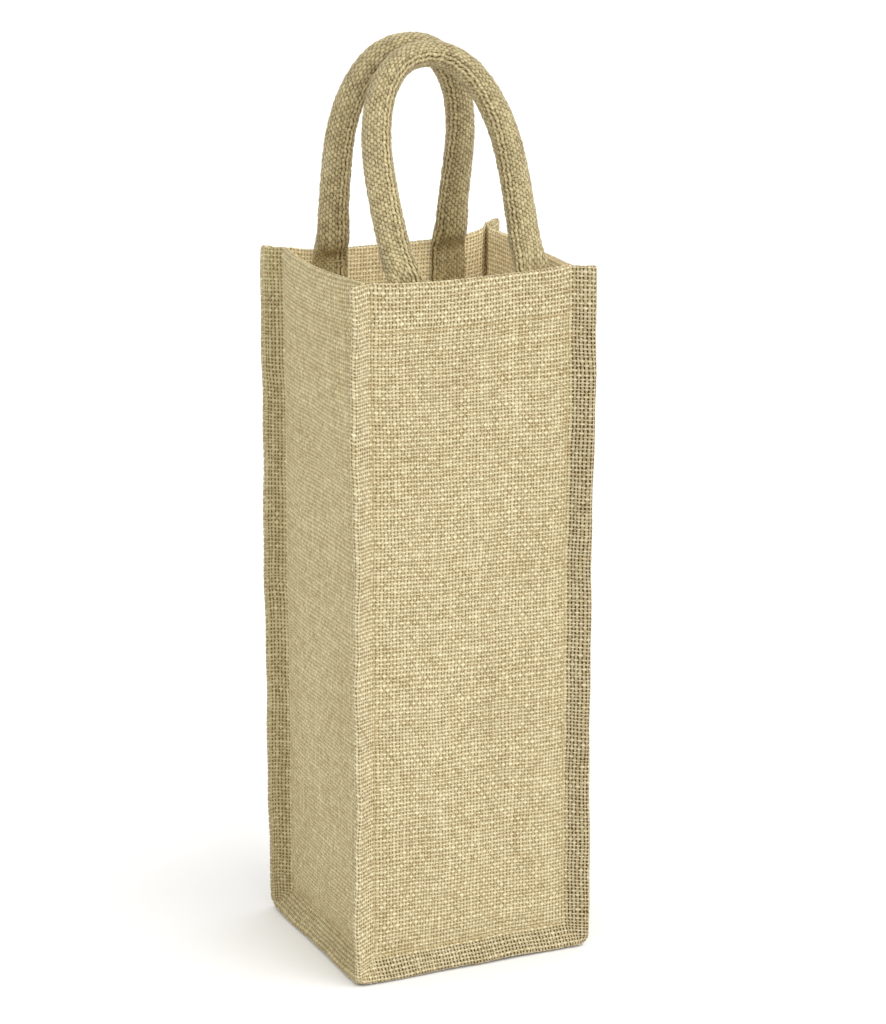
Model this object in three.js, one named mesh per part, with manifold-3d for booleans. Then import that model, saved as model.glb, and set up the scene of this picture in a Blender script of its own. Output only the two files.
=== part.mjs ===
// Natural jute bottle bag: five sewn panels with outward seams, and two padded loop handles.
// Millimetres, +Z up. The origin is on the ground under the bag's centre; the front faces -Y.
import * as THREE from 'three';
import { mergeVertices } from 'three/addons/utils/BufferGeometryUtils.js';
import Module from 'manifold-3d';

const wasm = await Module();
wasm.setup();

// Bag body, measured over its seams
const BAG = { width: 128, depth: 115, height: 350 };
const CLOTH = 1.3; // one layer of jute cloth
const GAP = 0.3; // between two layers that touch
const SEAM = { out: 9.95, forward: 6.7, rise: 11 }; // how far the sewn edges stand out from each wall
const HEM = 25; // height of the folded top hem
const CORNER = 5; // radius of the seams' lower corners

// Handles: webbing closed around a rope, with flat ends sewn inside the hem
const TUBE = { outer: 7.25, bore: 5.3, rope: 4.9, notch: 1.5 };
const END = { width: 18, height: 28, thickness: 2.7, top: 349.5 };
const FRONT_LOOP = { halfWidth: 34.8, shoulder: 45, rise: 106.6, pinch: 1.8, lean: 24.5, shift: 1.3 };
const BACK_LOOP = { halfWidth: 32.6, shoulder: 45, rise: 102, pinch: 1.2, lean: 12.7, shift: -1 };
const LOOP_POWER = 2.2; // roundness of the loop's top; 2 is an ellipse
const LOOP_STEPS = 36;

// Sewing thread
const THREAD = { pitch: 5, width: 0.9, crest: 0.8, dip: 0.4 };

const jute = () => new THREE.MeshStandardMaterial({ color: '#c9b98c', roughness: 0.95, metalness: 0 });
const webbing = () => new THREE.MeshStandardMaterial({ color: '#b3a377', roughness: 0.92, metalness: 0 });
const rope = () => new THREE.MeshStandardMaterial({ color: '#d9d2bd', roughness: 0.97, metalness: 0 });
const thread = () => new THREE.MeshStandardMaterial({ color: '#b9a878', roughness: 0.85, metalness: 0 });

const bag = new THREE.Group();
bag.name = 'wine_gift_bag';

function addMesh(name, geometry, material) {
  const mesh = new THREE.Mesh(geometry, material);
  mesh.name = name;
  bag.add(mesh);
  return mesh;
}

// Booleans

function toSolid(geometry) {
  const bare = geometry.clone();
  bare.deleteAttribute('normal');
  bare.deleteAttribute('uv');
  const merged = mergeVertices(bare, 1e-4);
  const vertProperties = new Float32Array(merged.attributes.position.array);
  const triVerts = new Uint32Array(merged.index.array);
  return new wasm.Manifold(new wasm.Mesh({ numProp: 3, vertProperties, triVerts }));
}

function toGeometry(solid) {
  const mesh = solid.getMesh();
  const geometry = new THREE.BufferGeometry();
  geometry.setAttribute('position', new THREE.BufferAttribute(mesh.vertProperties, 3));
  geometry.setIndex(new THREE.BufferAttribute(mesh.triVerts, 1));
  geometry.computeVertexNormals();
  return geometry;
}

// Cloth panels

const halfWidth = BAG.width / 2;
const halfDepth = BAG.depth / 2;
const seamX = halfWidth - 0.8 - SEAM.out; // where the walls' inner faces meet
const seamY = halfDepth - 1.2 - SEAM.forward;
const layer = CLOTH + GAP;
const X = new THREE.Vector3(1, 0, 0);
const Y = new THREE.Vector3(0, 1, 0);
const Z = new THREE.Vector3(0, 0, 1);

// One wall of the box. It spans low..high along each of two directions, at a distance outward,
// and past an edge with a flare its cloth turns outward: `along` the wall for each `out` from it.
function wallFace(across, up, outward, distance, spans) {
  return { axes: [across, up, outward], distance, spans };
}

const sideFlare = { along: SEAM.forward, out: SEAM.out };
const frontFlare = { along: SEAM.out, out: SEAM.forward };
const lowSide = { along: SEAM.rise, out: SEAM.out };
const lowFront = { along: SEAM.rise, out: SEAM.forward };
const baseSide = { along: SEAM.out, out: SEAM.rise };
const baseFront = { along: SEAM.forward, out: SEAM.rise };

function frontFace(side) {
  const spans = [
    { low: -seamX, high: seamX, lowFlare: frontFlare, highFlare: frontFlare },
    { low: SEAM.rise, high: BAG.height, lowFlare: lowFront },
  ];
  return wallFace(X.clone().multiplyScalar(-side), Z, Y.clone().multiplyScalar(side), seamY, spans);
}

function sideFace(side) {
  const spans = [
    { low: -seamY, high: seamY, lowFlare: sideFlare, highFlare: sideFlare },
    { low: SEAM.rise, high: BAG.height, lowFlare: lowSide },
  ];
  return wallFace(Y.clone().multiplyScalar(side), Z, X.clone().multiplyScalar(side), seamX, spans);
}

function baseFace() {
  const spans = [
    { low: -seamX, high: seamX, lowFlare: baseSide, highFlare: baseSide },
    { low: -seamY, high: seamY, lowFlare: baseFront, highFlare: baseFront },
  ];
  return wallFace(X, Y.clone().negate(), Z.clone().negate(), -SEAM.rise, spans);
}

// Where a span ends at a height above the wall, for the surface offset outward by `inset`
function spanEnd(edge, sign, flare, inset, height) {
  if (!flare) return edge + sign * inset; // an open edge, cut through
  const angle = Math.atan2(flare.out, flare.along);
  return edge - sign * inset * Math.tan(angle / 2) + (sign * height * flare.along) / flare.out;
}

// The space outside a wall and between its flared edges, as a box with one end widened
function spaceOutside(face, inset, reach) {
  const geometry = new THREE.BoxGeometry(1, 1, 1);
  const position = geometry.attributes.position;
  const point = new THREE.Vector3();
  for (let i = 0; i < position.count; i++) {
    const corner = [position.getX(i), position.getY(i)];
    const height = position.getZ(i) > 0 ? reach : 0;
    point.set(0, 0, 0).addScaledVector(face.axes[2], face.distance + inset + height);
    face.spans.forEach((span, k) => {
      const value = corner[k] > 0
        ? spanEnd(span.high, 1, span.highFlare, inset, height)
        : spanEnd(span.low, -1, span.lowFlare, inset, height);
      point.addScaledVector(face.axes[k], value);
    });
    position.setXYZ(i, point.x, point.y, point.z);
  }
  return geometry;
}

// The bag's outer bounds with rounded lower corners, drawn in by `inset` and cut off at `floor`
function bounds(inset, floor) {
  const x = halfWidth - inset;
  const shape = new THREE.Shape();
  shape.moveTo(-x, BAG.height);
  shape.lineTo(-x, floor + CORNER);
  shape.absarc(-x + CORNER, floor + CORNER, CORNER, Math.PI, 1.5 * Math.PI);
  shape.lineTo(x - CORNER, floor);
  shape.absarc(x - CORNER, floor + CORNER, CORNER, -0.5 * Math.PI, 0);
  shape.lineTo(x, BAG.height);
  return slab(shape, -halfDepth + inset, halfDepth - inset);
}

function clothShell(face, inset, floor) {
  const outside = toSolid(spaceOutside(face, GAP / 2, 20));
  const beyond = toSolid(spaceOutside(face, GAP / 2 + CLOTH, 30));
  return outside.subtract(beyond).intersect(toSolid(bounds(inset, floor)));
}

// The top edge folded down inside: a strip across the top and the layer that hangs from it
function hemLayer(face, halfLength) {
  const [across, up, outward] = face.axes;
  const parts = [
    { from: -layer, to: GAP / 2 + CLOTH / 2, low: BAG.height - CLOTH },
    { from: -layer, to: -GAP, low: BAG.height - HEM },
  ];
  return parts.map(({ from, to, low }) => {
    const geometry = new THREE.BoxGeometry(2 * halfLength, BAG.height - low, to - from);
    geometry.translate(0, (BAG.height + low) / 2, face.distance + (from + to) / 2);
    return geometry.applyMatrix4(new THREE.Matrix4().makeBasis(across, up, outward));
  });
}

function hemmedPanel(face, halfLength, inset, floor) {
  const hem = hemLayer(face, halfLength).map(toSolid);
  return toGeometry(hem.reduce((whole, strip) => whole.add(strip), clothShell(face, inset, floor)));
}

// A shape drawn across (x) and up (z), given depth between two values of y
function slab(shape, yLow, yHigh) {
  const geometry = new THREE.ExtrudeGeometry(shape, {
    depth: yHigh - yLow,
    bevelEnabled: false,
    curveSegments: 5,
  });
  geometry.rotateX(Math.PI / 2);
  geometry.translate(0, yHigh, 0);
  return geometry;
}

// The range from a to b on one side of the middle, low value first
function onSide(side, a, b) {
  return side > 0 ? [a, b] : [-b, -a];
}

function outline(points) {
  return new THREE.Shape(points.map(([x, z]) => new THREE.Vector2(x, z)));
}

// Handles

class LoopCurve extends THREE.Curve {
  constructor(loop, start = 0) {
    super();
    this.loop = loop;
    this.start = start;
  }

  getPoint(t, target = new THREE.Vector3()) {
    const { halfWidth: half, shoulder, rise, pinch } = this.loop;
    const legShare = 0.22;
    const side = t < 0.5 ? -1 : 1;
    const u = Math.min(t, 1 - t);
    if (u < legShare) {
      const z = THREE.MathUtils.lerp(this.start, shoulder, u / legShare);
      return target.set(side * (half - pinch * ((shoulder - z) / shoulder) ** 2), 0, z);
    }
    const angle = ((u - legShare) / (0.5 - legShare)) * (Math.PI / 2);
    const across = Math.max(Math.cos(angle), 0) ** (2 / LOOP_POWER);
    const up = Math.sin(angle) ** (2 / LOOP_POWER);
    return target.set(side * half * across, 0, shoulder + (rise - shoulder) * up);
  }
}

// Webbing section: round, with the closing seam's notch on the side that faces into the loop
function tubeSection() {
  const shape = new THREE.Shape();
  const sides = 16;
  const half = 0.16; // half of the notch's angle, in radians
  for (let i = 0; i <= sides; i++) {
    const angle = Math.PI / 2 + half + (i * (2 * Math.PI - 2 * half)) / sides;
    const x = TUBE.outer * Math.cos(angle);
    const y = TUBE.outer * Math.sin(angle);
    if (i === 0) shape.moveTo(x, y);
    else shape.lineTo(x, y);
  }
  shape.lineTo(0, TUBE.outer - TUBE.notch);
  shape.holes.push(roundSection(TUBE.bore, 12));
  return shape;
}

function roundSection(radius, sides) {
  const points = [];
  for (let i = 0; i < sides; i++) {
    const angle = (2 * Math.PI * i) / sides;
    points.push(new THREE.Vector2(radius * Math.cos(angle), radius * Math.sin(angle)));
  }
  return new THREE.Shape(points);
}

function alongLoop(section, loop, start) {
  return new THREE.ExtrudeGeometry(section, {
    steps: LOOP_STEPS,
    extrudePath: new LoopCurve(loop, start),
    curveSegments: 6,
  });
}

function stitchInNotch() {
  const y = TUBE.outer - 0.15;
  return outline([[-0.4, y], [0.4, y], [0.4, y + 0.7], [-0.4, y + 0.7]]);
}

function addHandle(name, side, loop) {
  const parts = [
    [name, tubeSection(), 0, webbing()],
    [`${name}_rope`, roundSection(TUBE.rope, 10), 3, rope()],
    [`${name}_seam_stitching`, stitchInNotch(), 4, thread()],
  ];
  for (const [node, section, start, material] of parts) {
    const mesh = addMesh(node, alongLoop(section, loop, start), material);
    mesh.rotation.x = side * THREE.MathUtils.degToRad(loop.lean);
    mesh.position.set(loop.shift, side * (seamY - layer - TUBE.outer - 0.05), BAG.height);
  }
}

// The flattened end of a handle, and the box of stitches that holds it to the hem
function addHandleEnd(name, side, x) {
  const inner = seamY - layer - GAP;
  const shape = outline([
    [x - END.width / 2, END.top],
    [x - END.width / 2, END.top - END.height],
    [x + END.width / 2, END.top - END.height],
    [x + END.width / 2, END.top],
  ]);
  addMesh(name, slab(shape, ...onSide(side, inner - END.thickness, inner)), webbing());
  const face = inner - END.thickness - GAP;
  const box = rectangle(x, END.top - END.height / 2, END.width / 2 - 2, END.height / 2 - 3);
  box.holes.push(rectangle(x, END.top - END.height / 2, END.width / 2 - 3, END.height / 2 - 4));
  addMesh(`${name}_stitching`, slab(box, ...onSide(side, face - 0.5, face)), thread());
}

function rectangle(x, z, halfX, halfZ) {
  return outline([
    [x - halfX, z - halfZ],
    [x + halfX, z - halfZ],
    [x + halfX, z + halfZ],
    [x - halfX, z + halfZ],
  ]);
}

// Thread

// A row of stitches lying along a line, with its crests on the outward side
function addStitches(name, from, to, outward) {
  const start = new THREE.Vector3(...from);
  const along = new THREE.Vector3(...to).sub(start);
  const length = along.length();
  const count = Math.round(length / THREAD.pitch);
  const pitch = length / count;
  const points = [[length, 0], [0, 0]];
  for (let i = 0; i < count; i++) {
    points.push([i * pitch, THREAD.dip], [(i + 0.5) * pitch, THREAD.crest]);
  }
  points.push([length, THREAD.dip]);
  const geometry = new THREE.ExtrudeGeometry(outline(points), {
    depth: THREAD.width,
    bevelEnabled: false,
  });
  geometry.translate(0, 0, -THREAD.width / 2);
  const mesh = addMesh(name, geometry, thread());
  const x = along.normalize();
  const y = new THREE.Vector3(...outward);
  const basis = new THREE.Matrix4().makeBasis(x, y, new THREE.Vector3().crossVectors(x, y));
  mesh.applyMatrix4(basis.setPosition(start));
}

// Assembly

addMesh('front_panel', hemmedPanel(frontFace(-1), seamX - 2.2, 0, 0), jute());
addMesh('back_panel', hemmedPanel(frontFace(1), seamX - 2.2, 0, 0), jute());
addMesh('left_side_panel', hemmedPanel(sideFace(-1), seamY - layer - 0.7, 0.4, 0.9), jute());
addMesh('right_side_panel', hemmedPanel(sideFace(1), seamY - layer - 0.7, 0.4, 0.9), jute());
addMesh('base_panel', toGeometry(clothShell(baseFace(), 0.8, 0.4)), jute());

const surface = GAP / 2 + CLOTH + GAP; // where thread lies, outward from a wall's inner face
const seamLine = 1.5; // from a wall's edge to its line of stitches
const lowZ = SEAM.rise + seamLine;
const hemZ = BAG.height - HEM + 2;
const topZ = BAG.height - 1;

for (const [face, side] of [['front', -1], ['back', 1]]) {
  const x = seamX - seamLine;
  const y = side * (seamY + surface);
  const out = [0, side, 0];
  addStitches(`${face}_left_seam_stitching`, [-x, y, lowZ + 2], [-x, y, topZ], out);
  addStitches(`${face}_right_seam_stitching`, [x, y, lowZ + 2], [x, y, topZ], out);
  addStitches(`${face}_bottom_seam_stitching`, [-x, y, lowZ], [x, y, lowZ], out);
  addStitches(`${face}_hem_stitching`, [-x + 2, y, hemZ], [x - 2, y, hemZ], out);
}

for (const [face, side] of [['left', -1], ['right', 1]]) {
  const x = side * (seamX + surface);
  const y = seamY - seamLine;
  const out = [side, 0, 0];
  addStitches(`${face}_bottom_seam_stitching`, [x, -y, lowZ], [x, y, lowZ], out);
  addStitches(`${face}_hem_stitching`, [x, -y, hemZ], [x, y, hemZ], out);
}

for (const [face, side, loop] of [['front', -1, FRONT_LOOP], ['back', 1, BACK_LOOP]]) {
  addHandle(`${face}_handle`, side, loop);
  const x = loop.halfWidth - loop.pinch;
  addHandleEnd(`${face}_handle_left_end`, side, loop.shift - x);
  addHandleEnd(`${face}_handle_right_end`, side, loop.shift + x);
}

export default bag;
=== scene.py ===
"""Looks of the jute bottle bag: woven cloth with sewn flanges, two webbing handles, thread, floor and light."""
import math

import bpy
import numpy as np
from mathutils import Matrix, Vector
from mathutils.bvhtree import BVHTree


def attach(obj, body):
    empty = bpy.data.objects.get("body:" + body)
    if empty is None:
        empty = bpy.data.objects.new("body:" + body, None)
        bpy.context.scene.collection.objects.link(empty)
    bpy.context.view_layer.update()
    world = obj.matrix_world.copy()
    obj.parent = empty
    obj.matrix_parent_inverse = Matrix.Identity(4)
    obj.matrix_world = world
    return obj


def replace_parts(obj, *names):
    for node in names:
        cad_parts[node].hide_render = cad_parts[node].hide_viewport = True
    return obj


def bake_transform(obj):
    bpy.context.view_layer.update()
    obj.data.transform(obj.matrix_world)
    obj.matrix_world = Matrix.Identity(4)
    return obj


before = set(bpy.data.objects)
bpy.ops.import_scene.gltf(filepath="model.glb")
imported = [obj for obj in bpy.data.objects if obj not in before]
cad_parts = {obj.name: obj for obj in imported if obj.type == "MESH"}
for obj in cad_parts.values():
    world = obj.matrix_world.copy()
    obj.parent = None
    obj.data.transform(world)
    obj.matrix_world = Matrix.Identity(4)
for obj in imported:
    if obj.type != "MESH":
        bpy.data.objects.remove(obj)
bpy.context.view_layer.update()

# -------- sizes, in millimetres, as the CAD has them
HEIGHT = 350.0
SEAM_X, SEAM_Y, SEAM_Z = 53.25, 49.6, 11.0  # where the walls' inner faces meet
FLARE_X, FLARE_Y = 9.95, 6.7  # how far the sewn edges stand out from each wall
SKIN, BACKING = 1.45, 0.15  # a wall's outer and inner face, outward from its seam plane
HEM_INNER, HEM_DROP = -1.6, 24.5  # inner face of the folded hem, and its height
ROLL = 1.45  # radius of a flange's rolled edge
CORNER = 5.0  # radius of the flanges' lower corners
LOW_EDGE = ROLL + 1.0  # height at which the lower flanges' rolled edges start
FOLD = 1.55  # radius of the hem's fold

WARP, WEFT = 1.72, 2.0  # spacing of the upright and the level yarns
PER_YARN = 4  # mesh steps across a yarn


def smoothstep(x):
    x = np.clip(x, 0.0, 1.0)
    return x * x * (3 - 2 * x)


def lerp(a, b, t):
    return a + (b - a) * t


def normalized(v):
    return v / np.maximum(np.linalg.norm(v, axis=-1, keepdims=True), 1e-9)


# -------- meshes

def make_mesh(name, points, quads, tris=(), attributes=None, material=None):
    """A mesh from points in millimetres, with per-point vector attributes for the material."""
    quads = np.asarray(quads, np.int32).reshape(-1, 4)
    tris = np.asarray(tris, np.int32).reshape(-1, 3)
    mesh = bpy.data.meshes.new(name)
    mesh.vertices.add(len(points))
    mesh.vertices.foreach_set("co", (np.asarray(points) * 0.001).astype(np.float32).ravel())
    loops = np.concatenate([quads.ravel(), tris.ravel()])
    mesh.loops.add(len(loops))
    mesh.loops.foreach_set("vertex_index", loops)
    totals = np.concatenate([np.full(len(quads), 4), np.full(len(tris), 3)])
    mesh.polygons.add(len(totals))
    mesh.polygons.foreach_set("loop_start", np.concatenate([[0], np.cumsum(totals)[:-1]]).astype(np.int32))
    mesh.update(calc_edges=True)
    for key, values in (attributes or {}).items():
        layer = mesh.attributes.new(key, "FLOAT_VECTOR", "POINT")
        layer.data.foreach_set("vector", np.asarray(values, np.float32).ravel())
    mesh.shade_smooth()
    obj = bpy.data.objects.new(name, mesh)
    bpy.context.scene.collection.objects.link(obj)
    if material:
        mesh.materials.append(material)
    return obj


def grid_quads(rows, columns, closed=False):
    """Quads of a grid of points stored row by row; closed joins the last column to the first."""
    index = np.arange(rows * columns).reshape(rows, columns)
    right = np.roll(index, -1, axis=1) if closed else index[:, 1:]
    left = index if closed else index[:, :-1]
    return np.stack([left[:-1], right[:-1], right[1:], left[1:]], axis=-1).reshape(-1, 4)


def zip_lines(a, b):
    """Triangles that fill the gap between two lines of point indices that run the same way."""
    tris, i, j = [], 0, 0
    while i < len(a) - 1 or j < len(b) - 1:
        next_a = (i + 1) / (len(a) - 1) if i < len(a) - 1 else 2.0
        next_b = (j + 1) / (len(b) - 1) if j < len(b) - 1 else 2.0
        if next_a <= next_b:
            tris.append((a[i], a[i + 1], b[j]))
            i += 1
        else:
            tris.append((a[i], b[j + 1], b[j]))
            j += 1
    return [t for t in tris if len(set(t)) == 3]


def joined(a, b, flip):
    found = np.array(zip_lines(list(a), list(b)), np.int32)
    return found[:, ::-1] if flip else found


def both(a, b):
    return np.concatenate([a.reshape(-1, 3), b.reshape(-1, 3)])


def flipped_quads(index):
    return np.stack([index[:-1, :-1], index[1:, :-1], index[1:, 1:], index[:-1, 1:]], axis=-1).reshape(-1, 4)


def numbered(grid, first=0):
    """The number that each point of a grid has in its mesh."""
    return first + np.arange(grid[..., 0].size).reshape(grid.shape[:2])


def grid_normals(p):
    return normalized(np.cross(np.gradient(p, axis=1), np.gradient(p, axis=0)))


# -------- how the bag has settled

class Wall:
    """One side of the bag in its own directions: across, up and outward, in millimetres."""

    def __init__(self, name, across, up, outward, plane, half, flare, low_flare, low):
        self.name = name
        self.axes = np.array([across, up, outward], float)
        self.plane = plane
        self.half = half  # half the distance between its two upright seams
        self.angle = math.atan2(flare[1], flare[0])
        self.flare = math.hypot(*flare)
        self.low_angle = math.atan2(low_flare[1], low_flare[0])
        self.low_flare = math.hypot(*low_flare)
        self.low = low  # height of the lower seam; on the base, half the way between its far and near seams

    def creases(self, offset):
        """Where the side and lower creases are on a face this far out, and the widths of the flanges past them."""
        tan_side, tan_low = math.tan(self.angle / 2), math.tan(self.low_angle / 2)
        low_width = (self.low - LOW_EDGE) / math.cos(self.low_angle) + offset * tan_low
        side_width = self.flare - ROLL + offset * tan_side
        return self.half - offset * tan_side, self.low + offset * tan_low, side_width, low_width

    def fold_start(self):
        """How far up its flat cloth the hem's fold starts."""
        return HEIGHT - 1.6 - self.creases(SKIN)[1]

    def point(self, local):
        """Points in the row frame, with the way this wall has settled."""
        a, z, o = np.moveaxis(local, -1, 0)
        o = o + bulge(self.name, a, z, self.half)
        z = z + sag(self.name, a, z, self.half)
        return settle(np.stack([a, z, o + self.plane], axis=-1) @ self.axes)


def near_top(z, reach):
    return np.exp(-(((HEIGHT - np.minimum(z, HEIGHT)) / reach) ** 2))


def pillow(a, half, power):
    return 1 - np.minimum(np.abs(a / half), 1.0) ** power


# How a wall stands out: by how much, how much more to one side, and how square that is; the same for its top,
# with how far down the top reaches; then its ripples' height, and their lengths, turns and slants.
BULGES = {
    "front": ((1.3, 0.4, 9), (1.4, 0, 2, 40), (0.35, 31, 0, 1.2, 14, 90), (7.5, 55, 2)),
    "back": ((0.8, 0, 7), (-4.2, 0, 6, 55), (0.4, 27, 2, 1, 13, -80), (8.5, -60, 0)),
    "left": ((1.5, 0, 5), (3.8, 0, 2, 75), (0.4, 36, 0.5, 1.5, 15, 75), (9, 47, 0)),
    "right": ((1.5, 0, 5), (3.8, 3.0, 3, 70), (0.4, 33, 4, -1.2, 12, -85), (7, 66, 0)),
}
SAGS = {"front": (1.5, -0.5, 3), "back": (2.4, 0, 6), "left": (0.8, 0, 2), "right": (1.5, 0, 4)}


def bulge(name, a, z, half):
    """How far a wall stands out from flat. It is nothing along the seams, and the base is flat."""
    if name not in BULGES:
        return 0.0 * a
    s = np.clip(a / half, -1, 1)
    (out, more, square), (top_out, top_more, top_square, reach), long, short = BULGES[name]
    face = (out + more * s) * pillow(a, half, square)
    face += (top_out + top_more * s) * pillow(a, half, top_square) * near_top(z, reach)
    ripple = long[0] * np.sin(z / long[1] + long[2] + long[3] * s) * np.cos(a / long[4] + z / long[5])
    ripple += 0.2 * np.sin(a / short[0] + z / short[1] + short[2])
    return (face + ripple * pillow(a, half, 4)) * smoothstep((z - SEAM_Z) / 14)


def sag(name, a, z, half):
    """How far a wall's top edge hangs between its corners."""
    drop, more, square = SAGS.get(name, (0, 0, 1))
    return -(drop + more * np.clip(a / half, -1, 1)) * pillow(a, half, square) * near_top(z, 90)


def settle(p):
    """The bag's slight twist: its far right corner leans out, and its long edges aren't quite straight."""
    x, y, z = p[..., 0], p[..., 1], p[..., 2]
    right, left = smoothstep((x + 20) / 74), smoothstep((20 - x) / 74)
    far, near = smoothstep((y + 20) / 70), smoothstep((20 - y) / 70)
    top = near_top(z, 110)
    middle = np.sin(np.pi * np.clip(z / HEIGHT, 0, 1)) ** 2
    dx = 2.4 * right * far * top + 0.9 * middle * (left * near - right * near) - 0.8 * middle * left * far
    dy = 0.8 * right * far * top + 0.5 * middle * (near - far)
    out = p.copy()
    out[..., 0] += dx
    out[..., 1] += dy
    lifted = 2.6 * smoothstep((x - 51) / 4) * smoothstep((y - 48) / 3)
    out[..., 2] += ((right * far) ** 6 + lifted) * near_top(z, 30)
    # the sewn edges are a little wavy
    edge_x, edge_y = smoothstep((np.abs(x) - 50) / 12), smoothstep((np.abs(y) - 47) / 9)
    corner, foot = edge_x * edge_y, smoothstep((SEAM_Z + 1 - z) / 11)
    phase = np.sign(x) * 1.3 + np.sign(y) * 2.1
    wave = 0.4 * np.sin(z / 19 + phase) + 0.25 * np.sin(z / 6.3 + 2 * phase)
    out[..., 0] += corner * wave + edge_x * foot * 0.25 * np.sin(y / 10 + phase)
    out[..., 1] -= corner * wave * 0.7 * np.sign(x) * np.sign(y) - edge_y * foot * 0.25 * np.sin(x / 11 + phase)
    ripple = edge_x * (1 + np.sin(y / 7 + phase)) + edge_y * (1 + np.sin(x / 8 + phase))
    out[..., 2] += 0.2 * foot * ripple
    return out


X, Y, Z = (1, 0, 0), (0, 1, 0), (0, 0, 1)


def minus(v):
    return tuple(-c for c in v)


WALLS = {
    "front": Wall("front", X, Z, minus(Y), SEAM_Y, SEAM_X, (FLARE_X, FLARE_Y), (SEAM_Z, FLARE_Y), SEAM_Z),
    "back": Wall("back", minus(X), Z, Y, SEAM_Y, SEAM_X, (FLARE_X, FLARE_Y), (SEAM_Z, FLARE_Y), SEAM_Z),
    "left": Wall("left", minus(Y), Z, minus(X), SEAM_X, SEAM_Y, (FLARE_Y, FLARE_X), (SEAM_Z, FLARE_X), SEAM_Z),
    "right": Wall("right", Y, Z, X, SEAM_X, SEAM_Y, (FLARE_Y, FLARE_X), (SEAM_Z, FLARE_X), SEAM_Z),
    "base": Wall("base", X, minus(Y), minus(Z), -SEAM_Z, SEAM_X, (FLARE_X, SEAM_Z), (FLARE_Y, SEAM_Z), SEAM_Y),
}

# -------- woven cloth

def yarn_grid(rng, low_u, high_u, low_v, high_v):
    """Flat places u and v, PER_YARN steps to an uneven yarn, and their yarn coordinates U and V."""
    def places(low, high, spacing):
        widths = 1 + 0.13 * np.clip(rng.standard_normal(round((high - low) / spacing)), -2.2, 2.2)
        edges = low + np.concatenate([[0], np.cumsum(widths)]) * (high - low) / widths.sum()
        steps = np.arange(len(widths) * PER_YARN + 1) / PER_YARN
        return np.interp(steps, np.arange(len(edges)), edges), steps

    u, U = places(low_u, high_u, WARP)
    v, V = places(low_v, high_v, WEFT)
    return *np.meshgrid(u, v), *np.meshgrid(U, V)


def wander(rng, u, v, fade):
    """A slow drift of the yarns in their own plane."""
    du, dv = 0 * u, 0 * v
    for scale, amount in ((60, 0.6), (23, 0.34), (9, 0.2), (4.3, 0.11)):
        phase = rng.uniform(0, 2 * np.pi, 6)
        du = du + amount * np.sin(v / scale + phase[0] + np.sin(u / scale * 0.8 + phase[1]))
        dv = dv + amount * np.sin(u / scale + phase[2] + np.sin(v / scale * 0.7 + phase[3]))
    return u + du * fade, v + dv * fade


WARP_CRIMP, WEFT_CRIMP, YARN = 0.14, 0.30, 0.26  # how far yarns weave up and down, and half their thickness
WARP_HALF, WEFT_HALF = 0.37, 0.27  # half a yarn's width, as a share of the yarns' spacing
STEEP = 1.6  # how steeply a yarn dives
WARP_LONGER, WEFT_LONGER = -0.1, 0.2  # how much longer a yarn shows than hides


def relief(rng, U, V, openness):
    """Height of the plain weave at yarn coordinates: warp yarns are whole steps of U, weft yarns of V."""
    i, j = np.floor(U), np.floor(V)
    fu, fv = np.clip(U - i - 0.5, -0.5, 0.4999), np.clip(V - j - 0.5, -0.5, 0.4999)
    over = 1 - 2 * np.mod(i + j, 2)
    uneven = rng.uniform(0.7, 1.3, (int(j.max()) + 1, int(i.max()) + 1))[j.astype(int), i.astype(int)]

    def yarns(crimp, wave, across, half):
        section = np.sqrt(np.maximum(0, 1 - (across / (half - 0.06 * openness)) ** 2))
        return crimp * np.clip(STEEP * wave, -1, 1) + YARN * uneven * section

    warp = yarns(WARP_CRIMP, over * np.cos(np.pi * fv) + WARP_LONGER, fu, WARP_HALF)
    weft = yarns(WEFT_CRIMP, WEFT_LONGER - over * np.cos(np.pi * fu), fv, WEFT_HALF)
    return np.maximum(warp, weft) - YARN


def corner_turn(x, y, straight, rolls_across):
    """Turns a flange's square corner into a round one. x and y are past the corner's centre, across and down.
    Gives the place, the way out from the flange, and how far past its straight part the cloth has rolled."""
    y_flat = y if rolls_across else np.minimum(y, straight)
    big = np.maximum(np.maximum(x, y_flat), 1e-9)
    turn = np.where(x >= y_flat, np.pi / 4 * y_flat / big, np.pi / 2 - np.pi / 4 * x / big)
    both = (x > 0) & (y_flat > 0)
    turn = np.where(both, turn, np.where(y_flat > 0, np.pi / 2, 0.0))
    reach = np.where(both, np.minimum(big, straight), 0)
    px = np.where(both, reach * np.cos(turn), np.minimum(x, straight))
    py = np.where(both, reach * np.sin(turn), np.minimum(y, straight))
    rolled = np.maximum(np.maximum(x, y) if rolls_across else y, straight) - straight
    share = 1.0 if rolls_across else smoothstep((turn - np.pi / 4) / 0.5) * 0.92 + 0.08
    return px, py, np.cos(turn), np.sin(turn), rolled * share


def tray(wall, p, q, a_side, offset, z_side=None):
    """A wall and its flanges, offset outward. p and q are how far past the crease a point is, across and down.
    z_side is given for the base, which has flanges at both ends."""
    crease = 0.45  # how softly the cloth bends there
    rise = np.stack([0 * p, p * math.sin(wall.angle), q * math.sin(wall.low_angle)]) / crease
    top = rise.max(axis=0)
    out = crease * (top + np.log(np.exp(rise - top).sum(axis=0)))
    a = wall.half - offset * math.tan(wall.angle / 2) + np.where(p > 0, p * math.cos(wall.angle), p)
    down = np.where(q > 0, q * math.cos(wall.low_angle), q)
    inset = offset * math.tan(wall.low_angle / 2)
    z = wall.low + inset - down if z_side is None else z_side * (wall.low - inset + down)
    return np.stack([a * a_side, z, offset + out], axis=-1)


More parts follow.
